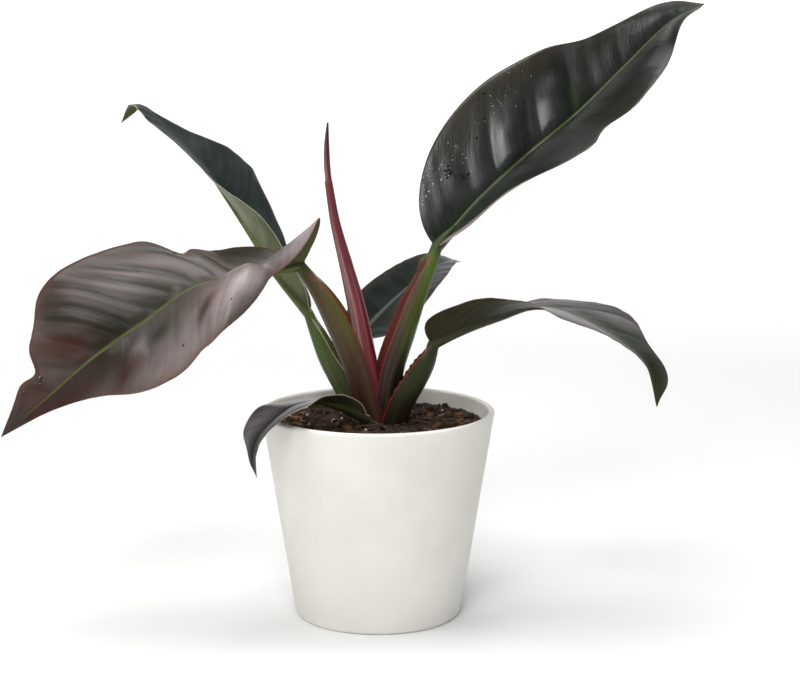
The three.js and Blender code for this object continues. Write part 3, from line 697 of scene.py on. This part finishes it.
class Nodes:
    """The nodes of a material or world, with a call for each kind that is used here."""

    def __init__(self, owner, shader):
        owner.use_nodes = True
        self.owner = owner
        self.tree = owner.node_tree
        self.shader = next(n for n in self.tree.nodes if n.type == shader)

    def feed(self, socket, value):
        """A link from another node's socket, a colour in screen values, or a plain value."""
        if isinstance(value, bpy.types.NodeSocket):
            self.tree.links.new(value, socket)
        else:
            socket.default_value = colour(*value) if isinstance(value, tuple) else value

    def put(self, given, node=None):
        """What is given goes to the sockets of a node, or of the shader."""
        for key, value in given.items():
            self.feed((node or self.shader).inputs[key], value)

    def node(self, kind, given, output=0, **settings):
        """The output of a new node, with what is given to its sockets by name or number."""
        node = self.tree.nodes.new("ShaderNode" + kind)
        for key, value in settings.items():
            setattr(node, key, value)
        self.put(given, node)
        return node.outputs[output]

    def field(self, name):
        return self.node("Attribute", {}, "Fac", attribute_name=name)

    def place(self):
        """Where a point is, in millimetres."""
        spot = self.node("TexCoord", {}, "Object")
        return self.node("VectorMath", {0: spot, "Scale": 1 / MM}, operation="SCALE")

    def vector(self, *parts):
        return self.node("CombineXYZ", dict(enumerate(parts)))

    def math(self, operation, a, b=0, clamp=False):
        return self.node("Math", {0: a, 1: b}, operation=operation, use_clamp=clamp)

    def times(self, a, b):
        return self.math("MULTIPLY", a, b)

    def plus(self, a, b):
        return self.math("ADD", a, b)

    def total(self, a, a_share, b, b_share):
        return self.plus(self.times(a, a_share), self.times(b, b_share))

    def ramp(self, *given):
        """A soft step, given as (value, low, high, start, end): start at low, end at high."""
        return self.node("MapRange", dict(enumerate(given)), interpolation_type="SMOOTHSTEP")

    def noise(self, vector, size, detail=3, roughness=0.55):
        """Noise from 0 to 1 with lumps of about this size in the vector's units."""
        given = {"Vector": vector, "Scale": 1 / size, "Detail": detail, "Roughness": roughness}
        return self.node("TexNoise", given, "Fac")

    def cells(self, vector, size):
        """How far it is to the middle of the nearest of many cells of this size."""
        return self.node("TexVoronoi", {"Vector": vector, "Scale": 1 / size}, "Distance")

    def mix(self, share, a, b, blend="MIX"):
        return self.node("Mix", {"Factor": share, 6: a, 7: b}, 2, data_type="RGBA", blend_type=blend)

    def shade(self, base, tone):
        """The colour made darker or lighter by a tone around 1."""
        return self.mix(1, base, self.vector(tone, tone, tone), "MULTIPLY")

    def bump(self, height, depth_mm):
        """A bump whose height of 1 stands for depth_mm."""
        return self.node("Bump", {"Strength": 1, "Distance": depth_mm * MM, "Height": height})

    def done(self, base_color, roughness, normal=None, shine=0.5):
        self.put({"Base Color": base_color, "Roughness": roughness, "Specular IOR Level": shine})
        if normal is not None:
            self.put({"Normal": normal})
        return self.owner


def finish(name, ior):
    """A new material's nodes, round its principled shader."""
    nodes = Nodes(bpy.data.materials.new(name), "BSDF_PRINCIPLED")
    nodes.put({"IOR": ior})
    return nodes


def leaf_finish(name, look):
    """A leathery blade: fine lines along its side veins, a midrib, a thin edge line, its own underside, soft
    spots of painted sheen, highlight and shade, and painted shade along the creases.
    """
    f = finish(name, 1.45)
    along, vein, edge, rib, over = (f.field(k) for k in ("along", "vein", "edge", "rib", "over"))
    spot = {kind: f.field(kind) for kind in SPOT_KINDS}
    reach = f.math("ABSOLUTE", f.field("reach"))
    side = f.ramp(f.field("reach"), -0.01, 0.01)
    fine = f.noise(f.vector(vein, f.times(reach, 0.05), f.times(side, 40)), 0.8, 4, 0.6)
    streak = f.noise(f.vector(vein, f.times(reach, 0.1), f.times(side, 70)), 3.2)
    broad = f.noise(f.place(), 30, 2, 0.5)
    blotch = f.noise(f.place(), 9, 3, 0.6)
    patchy = f.ramp(f.total(streak, 0.5, blotch, 0.5), 0.3, 0.6, 0.75, 1.15)

    def spotted(base, *kinds):
        for kind in kinds:
            base = f.mix(f.math("MULTIPLY", spot[kind], patchy, clamp=True), base, look[kind])
        return base

    tone = f.total(streak, 0.3, broad, 0.7)
    # Pale and brightest spots paint sheen, highlights and glints onto the upper face.
    upper = spotted(f.mix(f.ramp(tone, 0.38, 0.62), look["dark"], look["light"]), "pale", "painted_highlight")
    # Painted shade along the creases, as strong as each look's crease share.
    upper = f.mix(f.times(f.field("crease"), look["crease"]), upper, look["deep"])
    upper = f.mix(f.times(f.ramp(edge, look["rim_width"], 0), look["rim_share"]), upper, look["rim"])
    # Deep spots are painted shade; warm and green spots are the leaf's own tints.
    upper = spotted(upper, "deep", "warm", "green")
    fine_tone = f.total(fine, 0.7, streak, 0.3)
    fine_tone = f.ramp(fine_tone, 0.3, 0.7, 1 - look["fine"], 1 + look["fine"])
    rib_share = f.times(f.ramp(rib, 0.2, 0.6), f.ramp(along, 0.8, 1, 1, 0.3))
    rib_tone = f.mix(f.ramp(along, 0, 0.9), look["rib"], look["rib_far"])
    upper = f.mix(f.times(rib_share, look["rib_share"]), f.shade(upper, fine_tone), rib_tone)

    lower = f.mix(f.ramp(tone, 0.38, 0.62), look["under"], look["under_light"])
    lower = f.shade(f.mix(f.ramp(rib, 0.05, 0.4), lower, look["under_rib"]), fine_tone)

    base = f.mix(f.ramp(over, 0.4, 0.6), lower, upper)
    base = f.mix(f.ramp(along, 0.84, 0.97, 0, 0.7), base, look["tip"])
    line = f.ramp(along, look["line_end"], look["line_end"] + 0.2, 1, 0.2)
    line = f.times(f.ramp(edge, look["line_width"], 0.1), line)
    base = f.mix(f.times(line, look["line_share"]), base, look["line"])

    texture = f.total(fine, 0.6, f.noise(f.place(), 0.7, 2, 0.6), 0.2)
    texture = f.plus(texture, f.times(streak, 0.8))
    rough = f.ramp(f.total(fine, 0.5, broad, 0.5), 0.35, 0.65, *look["rough"])
    rough = f.plus(rough, f.ramp(over, 0.6, 0.4, 0, 0.1))
    shine = f.plus(look["shine"], f.times(spot["pale"], look["pale_shine"]))
    shine = f.times(shine, f.ramp(f.plus(spot["deep"], f.times(spot["warm"], 0.6)), 0, 1, 1, 0.25))
    return f.done(base_color=base, roughness=rough, shine=shine, normal=f.bump(texture, look["relief"]))


# In each look, pale is the colour of painted sheen, the brightest spot colour that of painted highlights,
# deep that of painted shade, and crease how strongly painted shade lines the creases.
LEAF_LOOK = dict(
    dark=(32, 38, 33), light=(46, 51, 46), pale=(96, 98, 96), painted_highlight=(176, 166, 166), warm=(78, 58, 46),
    deep=(24, 28, 20), green=(58, 84, 30), rim=(70, 58, 48), rim_width=7, rim_share=0.3, tip=(66, 54, 44),
    rib=(96, 108, 52), rib_far=(84, 100, 44), rib_share=1, under=(60, 60, 32), under_light=(84, 84, 54),
    under_rib=(96, 102, 56), line=(124, 84, 72), line_width=0.6, line_share=0.5, rough=(0.28, 0.4),
    shine=0.3, pale_shine=0.15, relief=0.09, crease=0.3, fine=0.14, line_end=1,
)
LOOKS = dict(
    tall_right=dict(dark=(22, 27, 22), light=(33, 37, 33), pale=(72, 75, 74), deep=(18, 22, 16),
        warm=(44, 38, 28), green=(44, 60, 28), rib=(46, 54, 24), rib_far=(50, 68, 28), tip=(66, 68, 62),
        under=(140, 124, 120), under_light=(172, 152, 148), line=(84, 70, 58), shine=0.35,
        rough=(0.22, 0.32)),
    wide_left=dict(dark=(42, 38, 30), light=(58, 49, 42), pale=(126, 112, 110), warm=(58, 34, 27),
        deep=(32, 34, 24), rib=(66, 70, 34), rib_far=(62, 66, 24), tip=(28, 19, 18), crease=0.9, fine=0.08,
        rim=(92, 66, 56), rim_share=0.5, line=(112, 44, 42), shine=0.3, pale_shine=0.25,
        rough=(0.34, 0.46)),
    back_left=dict(dark=(30, 38, 36), light=(44, 52, 50), under=(72, 80, 46), under_light=(104, 110, 74),
        rib=(42, 50, 40), rib_far=(50, 58, 48), line=(170, 166, 144), line_width=1, line_share=0.9,
        rim_share=0.1, tip=(72, 74, 54)),
    back_middle=dict(dark=(20, 26, 20), light=(32, 38, 34), pale=(78, 83, 84), rib=(92, 100, 88),
        rib_far=(96, 100, 90), rib_share=0.55, tip=(66, 62, 56), warm=(142, 112, 82), shine=0.08),
    arching_right=dict(dark=(44, 44, 42), light=(72, 70, 70), pale=(132, 128, 128), deep=(34, 44, 24),
        under=(32, 31, 14), under_light=(44, 42, 22), under_rib=(50, 50, 22), line=(96, 62, 50),
        tip=(60, 56, 30), rib=(80, 84, 70), rib_far=(84, 88, 74), rib_share=0.6, fine=0.26, crease=0.6),
    low_left=dict(dark=(52, 48, 48), light=(74, 70, 70), pale=(112, 106, 108), deep=(30, 30, 26),
        rib=(30, 30, 24), rib_far=(36, 34, 30), under=(34, 36, 16), under_light=(50, 50, 26),
        under_rib=(46, 48, 22), line=(176, 168, 148), line_width=1, line_share=0.8, line_end=0.4,
        rim_share=0.1, tip=(40, 36, 32)),
)


def stalk_finish(name, look):
    """A fleshy stalk: fine lengthwise streaks, a darker foot, and thin coloured wing edges."""
    f = finish(name, 1.42)
    along, turn, around, wing = (f.field(k) for k in ("along", "turn", "around", "wing"))
    streak = f.noise(f.vector(f.times(turn, 6), f.times(around, 9), f.times(along, 1.6)), 1.1, 5, 0.65)
    broad = f.noise(f.vector(f.times(turn, 2), f.times(around, 2), f.times(along, 2.2)), 1.3, 3, 0.55)
    fleck = f.noise(f.place(), 0.8, 3, 0.65)
    flank = f.ramp(f.plus(around, f.times(f.plus(broad, -0.5), 0.7)), 0.2, 0.85)
    base = f.mix(flank, look["back"], look["flank"])
    foot = f.ramp(f.plus(along, f.times(f.plus(streak, -0.5), 0.35)), look["foot_end"], 0.12)
    base = f.mix(foot, base, look["foot"])
    base = f.mix(f.ramp(along, 0.9, 1.02), base, look["joint"])
    base = f.mix(f.ramp(streak, 0.46, 0.74, 0, 0.6), base, look["streak"])
    base = f.shade(base, f.ramp(f.total(streak, 0.6, fleck, 0.4), 0.32, 0.68, 0.7, 1.25))
    base = f.mix(f.ramp(around, 1.04, 1.14), base, look["channel"])
    left = f.mix(f.ramp(turn, -0.02, 0.02), look["left_edge"], look["right_edge"])
    base = f.mix(f.ramp(wing, 0.5, 0.8), base, left)
    texture = f.total(streak, 1, fleck, 0.25)
    rough = f.ramp(streak, 0.3, 0.7, 0.36, 0.5)
    return f.done(base_color=base, roughness=rough, normal=f.bump(texture, 0.22), shine=0.3)


STALK_LOOK = dict(
    back=(84, 96, 42), flank=(76, 58, 44), foot=(54, 32, 26), foot_end=0.55, joint=(84, 98, 44),
    streak=(56, 48, 30), channel=(96, 60, 40), left_edge=(124, 38, 38), right_edge=(124, 38, 38),
)
STALK_LOOKS = dict(
    tall_right=dict(back=(84, 112, 36), flank=(80, 58, 48), foot=(32, 19, 22), foot_end=0.8,
        channel=(88, 38, 30), streak=(64, 58, 34), joint=(50, 64, 28)),
    wide_left=dict(back=(74, 60, 38), flank=(82, 76, 38), foot=(62, 31, 24), channel=(96, 52, 38),
        joint=(84, 94, 46), streak=(62, 48, 30)),
    back_left=dict(back=(72, 94, 42), flank=(78, 90, 44), foot=(68, 74, 38), streak=(80, 90, 60),
        joint=(84, 104, 50), left_edge=(180, 172, 140)),
    back_middle=dict(back=(56, 62, 34), flank=(54, 52, 34)),
    arching_right=dict(back=(38, 46, 16), flank=(42, 46, 17), foot=(38, 28, 17), streak=(33, 37, 16),
        channel=(78, 50, 32), joint=(44, 54, 22)),
    low_left=dict(back=(60, 62, 34), flank=(66, 60, 36), left_edge=(190, 180, 160),
        right_edge=(190, 180, 160)),
)


def sheath_finish(name, tip, tip_start):
    """The newest leaf's wine-red skin: a pale lengthwise band of painted highlight between dark edges, and
    fine streaks, the pale ones partly painted sheen.
    """
    f = finish(name, 1.42)
    along, turn, around = (f.field(k) for k in ("along", "turn", "around"))
    place = f.vector(f.times(turn, 5), f.times(around, 5), f.times(along, 1.4))
    streak = f.noise(place, 1, 5, 0.6)
    broad = f.noise(place, 3.5, 3, 0.5)
    base = f.mix(f.ramp(along, 0.3, 0.7), (126, 48, 54), (84, 26, 34))
    base = f.mix(f.ramp(broad, 0.4, 0.6, 0, 0.4), base, (146, 76, 78))
    # The pale band down the front is a painted highlight.
    sway = f.plus(f.times(f.plus(broad, -0.5), 0.7), 0.15)
    band = f.ramp(f.math("ABSOLUTE", f.plus(turn, sway)), 0.55, 0.2)
    band = f.times(band, f.ramp(streak, 0.3, 0.5, 0.6, 1))
    base = f.mix(f.times(band, f.ramp(around, 0.2, 0.3)), base, (184, 142, 140))
    # Pale pink streaks: partly the skin's own stripes, partly painted sheen.
    base = f.mix(f.ramp(streak, 0.56, 0.72, 0, 0.6), base, (188, 152, 148))
    base = f.mix(f.ramp(streak, 0.46, 0.32, 0, 0.85), base, (80, 24, 30))
    seam = f.ramp(f.math("ABSOLUTE", f.plus(turn, LAP_TURN)), 0.09, 0, 0, 0.8)
    base = f.mix(f.times(seam, f.ramp(around, 0.2, 0.3)), base, (70, 20, 28))
    base = f.mix(f.ramp(along, 0.2, 0.02), base, (66, 24, 24))
    base = f.mix(f.ramp(along, tip_start, 1, 0, 0.9), base, tip)
    rough = f.ramp(streak, 0.3, 0.7, 0.32, 0.46)
    return f.done(base_color=base, roughness=rough, normal=f.bump(streak, 0.2), shine=0.4)


def pot_finish():
    """Plain off-white stoneware with a fine matt skin."""
    f = finish("matt_stoneware", 1.5)
    place = f.place()
    broad = f.noise(place, 60, 3, 0.5)
    fine = f.noise(place, 0.9, 4, 0.65)
    base = f.mix(f.ramp(broad, 0.3, 0.7), (224, 220, 212), (232, 229, 222))
    base = f.mix(f.ramp(f.cells(place, 3.2), 0.12, 0.05, 0, 0.25), base, (150, 138, 122))
    return f.done(base_color=base, roughness=f.ramp(fine, 0.3, 0.7, 0.5, 0.66), normal=f.bump(fine, 0.08))


def soil_finish():
    f = finish("potting_mix", 1.4)
    place = f.place()
    lumps = f.noise(place, 3.2, 5, 0.7)
    fine = f.noise(place, 0.7, 4, 0.7)
    base = f.mix(f.ramp(lumps, 0.35, 0.65), (34, 24, 18), (70, 52, 38))
    base = f.mix(f.ramp(fine, 0.6, 0.72, 0, 0.5), base, (98, 76, 54))
    height = f.total(lumps, 1, fine, 0.35)
    return f.done(base_color=base, roughness=0.92, normal=f.bump(height, 0.9))


def bits_finish(name, dark, light, relief):
    f = finish(name, 1.4)
    place = f.place()
    fine = f.noise(place, 0.8, 4, 0.65)
    base = f.mix(f.field("tint"), dark, light)
    base = f.shade(base, f.ramp(fine, 0.3, 0.7, 0.65, 1.2))
    return f.done(base_color=base, roughness=0.88, normal=f.bump(fine, relief))


def water_finish():
    f = finish("water", 1.33)
    f.put({"Transmission Weight": 1})
    tint = f.mix(f.noise(f.place(), 2), (240, 243, 244), (250, 251, 251))
    return f.done(base_color=tint, roughness=0.04, shine=1)


def floor_finish():
    f = finish("pale_paper", 1.45)
    place = f.place()
    base = f.mix(f.noise(place, 2, 3, 0.6), (238, 238, 237), (244, 244, 243))
    far = f.node("VectorMath", {0: place}, "Value", operation="LENGTH")
    f.put({"Emission Color": (244, 244, 244), "Emission Strength": f.ramp(far, 700, 1900, 0, 0.55)})
    return f.done(base_color=base, roughness=0.8)


def make_stage():
    """A pale floor that curves up into a backdrop."""
    bend, back, front, top, half = 600, 900, -3000, 700, 3500
    line = [(front, 0), (back, 0)]
    turn = np.linspace(0, math.pi / 2, 24)[1:]
    line += [(back + bend * math.sin(a), bend - bend * math.cos(a)) for a in turn]
    line.append((back + bend, top))
    points = [(x, y, z) for y, z in line for x in (-half, half)]
    faces = [[2 * i, 2 * i + 1, 2 * i + 3, 2 * i + 2] for i in range(len(line) - 1)]
    piece = mesh_object("floor", points, faces)
    coat(piece, floor_finish())


def make_camera():
    """The photograph's view: its elevation, its framing, and its scale at the pot's axis."""
    focal_pixels = LENS / SENSOR * PHOTO_WIDTH
    distance = focal_pixels * MM_PER_PIXEL
    up = np.array([0, math.sin(CAMERA_ELEVATION), math.cos(CAMERA_ELEVATION)])
    forward = np.array([0, math.cos(CAMERA_ELEVATION), -math.sin(CAMERA_ELEVATION)])
    right_shift = (PHOTO_WIDTH / 2 - AXIS_PIXEL[0]) * MM_PER_PIXEL
    up_shift = (AXIS_PIXEL[1] - PHOTO_HEIGHT / 2) * MM_PER_PIXEL
    spot = np.array([0, 0, AXIS_HEIGHT]) - distance * forward + up_shift * up + np.array([right_shift, 0, 0])
    data = bpy.data.cameras.new("camera")
    data.lens = LENS
    data.sensor_width = SENSOR
    camera = new_object("camera", data)
    camera.location = spot * MM
    camera.rotation_euler = (math.pi / 2 - CAMERA_ELEVATION, 0, 0)
    bpy.context.scene.camera = camera


def area_light(name, spot, target, size, power):
    data = bpy.data.lights.new(name, "AREA")
    data.shape = "RECTANGLE"
    data.size, data.size_y = size
    data.energy = power
    light = new_object(name, data)
    light.location = spot
    direction = Vector(target) - Vector(spot)
    light.rotation_euler = direction.to_track_quat("-Z", "Y").to_euler()


def make_surround():
    """The world: pale at the horizon and dim above it, so that only the soft boxes shine in the leaves."""
    world = bpy.data.worlds.new("surround")
    nodes = Nodes(world, "BACKGROUND")
    height = nodes.node("SeparateXYZ", {0: nodes.node("TexCoord", {}, "Generated")}, "Z")
    nodes.put({"Color": (238, 241, 245), "Strength": nodes.ramp(height, 0.03, 0.14, 0.95, 0.2)})
    bpy.context.scene.world = world


def make_light():
    """Three soft boxes: a large one overhead, one at the left, and a small one in front."""
    middle = (0, 0, 0.2)
    area_light("overhead", (-0.1, 0.15, 1.75), middle, (1.3, 1.1), 25)
    area_light("left", (-1.3, -0.45, 1.0), middle, (0.75, 0.75), 6)
    area_light("front", (-0.13, -1.2, 1.32), middle, (0.6, 0.6), 14)
    bpy.context.scene.view_settings.view_transform = "Standard"


make_camera()
make_surround()
make_light()
make_stage()

for plan in LEAVES:
    title = plan["name"]
    coat(make_blade(plan), leaf_finish("blade_" + title, {**LEAF_LOOK, **LOOKS[title]}))
    stalk_piece = make_stalk("petiole_" + title, plan["stalk"], "stalk_" + title, plan)
    coat(stalk_piece, stalk_finish("stalk_" + title, {**STALK_LOOK, **STALK_LOOKS[title]}))

sheath = make_stalk("new_leaf_sheath", SHEATH, "sheath")
coat(sheath, sheath_finish("red_sheath", (100, 38, 44), 0.5))
rolled_leaf = make_stalk("new_leaf_tip", ROLLED_LEAF, "rolled_leaf")
coat(rolled_leaf, sheath_finish("rolled_leaf", (56, 24, 32), -0.6))
coat(make_pot(), pot_finish())
coat(make_soil(), soil_finish())
coat(make_stem(), bits_finish("old_stem", (70, 60, 40), (110, 96, 64), 0.5))

# Each kind of loose bit: how many, their sizes and shape, the seed, how far from the axis they begin, their
# darkest and lightest colour, and the relief of their skin.
BITS = [
    ("peat_crumbs", 420, (0.9, 2.4), (1, 1, 0.9), 3, STEM_RADIUS - 2, (32, 22, 17), (74, 54, 40), 0.5),
    ("bark_chips", 110, (2.2, 5.5), (1, 0.6, 0.25), 5, STEM_RADIUS + 2, (62, 40, 26), (120, 84, 56), 0.5),
    ("perlite", 34, (0.7, 1.5), (1, 0.8, 0.8), 7, STEM_RADIUS + 2, (150, 146, 136), (190, 186, 178), 0.3),
]
for title, count, size, shape, seed, clear, low, high, relief in BITS:
    coat(scatter_bits(title, count, size, shape, seed, clear), bits_finish(title, low, high, relief))

# What lies on the two large blades: places as shares of the midrib and distances from it, and radii.
crumbs = [(TALL_RIGHT, share, reach, 0.9) for share, reach in
          ((0.315, -45), (0.28, -34), (0.24, -27.5), (0.385, -26), (0.4, -23), (0.38, -22))]
crumbs += [(WIDE_LEFT, share, reach, 0.55) for share, reach in
           ((0.39, 29), (0.24, 31), (0.25, -39), (0.43, -30))]
crumbs += scattered(TALL_RIGHT, (0.147, -25), (0.006, 1.6), 16, (0.3, 1.1), 11)
crumbs += scattered(TALL_RIGHT, (0.165, -16), (0.006, 1.2), 9, (0.3, 1), 12)
crumbs += scattered(TALL_RIGHT, (0.25, -4.5), (0.06, 1.2), 24, (0.2, 0.7), 13)
crumbs += scattered(TALL_RIGHT, (0.7, -8), (0.02, 1.5), 6, (0.2, 0.7), 14)
dust = scattered(TALL_RIGHT, (0.12, -30), (0.035, 5), 60, (0.15, 0.45), 15)
dust += scattered(TALL_RIGHT, (0.3, -36), (0.06, 5), 30, (0.15, 0.35), 16)
drops = [(WIDE_LEFT, *drop) for drop in
         ((0.79, 11, 2.1), (0.846, 11, 1.3), (0.3, 30.7, 1.1), (0.8, 8.4, 0.6))]
piece = sprinkle("leaf_crumbs", crumbs, 0.5, 0.3, 21)
coat(piece, bits_finish("leaf_crumbs", (14, 14, 11), (26, 22, 17), 0.2))
piece = sprinkle("leaf_dust", dust, 0.4, 0.2, 23)
coat(piece, bits_finish("leaf_dust", (120, 122, 120), (200, 200, 198), 0.1))
coat(sprinkle("water_drops", drops, 0.6, 0, 22), water_finish())
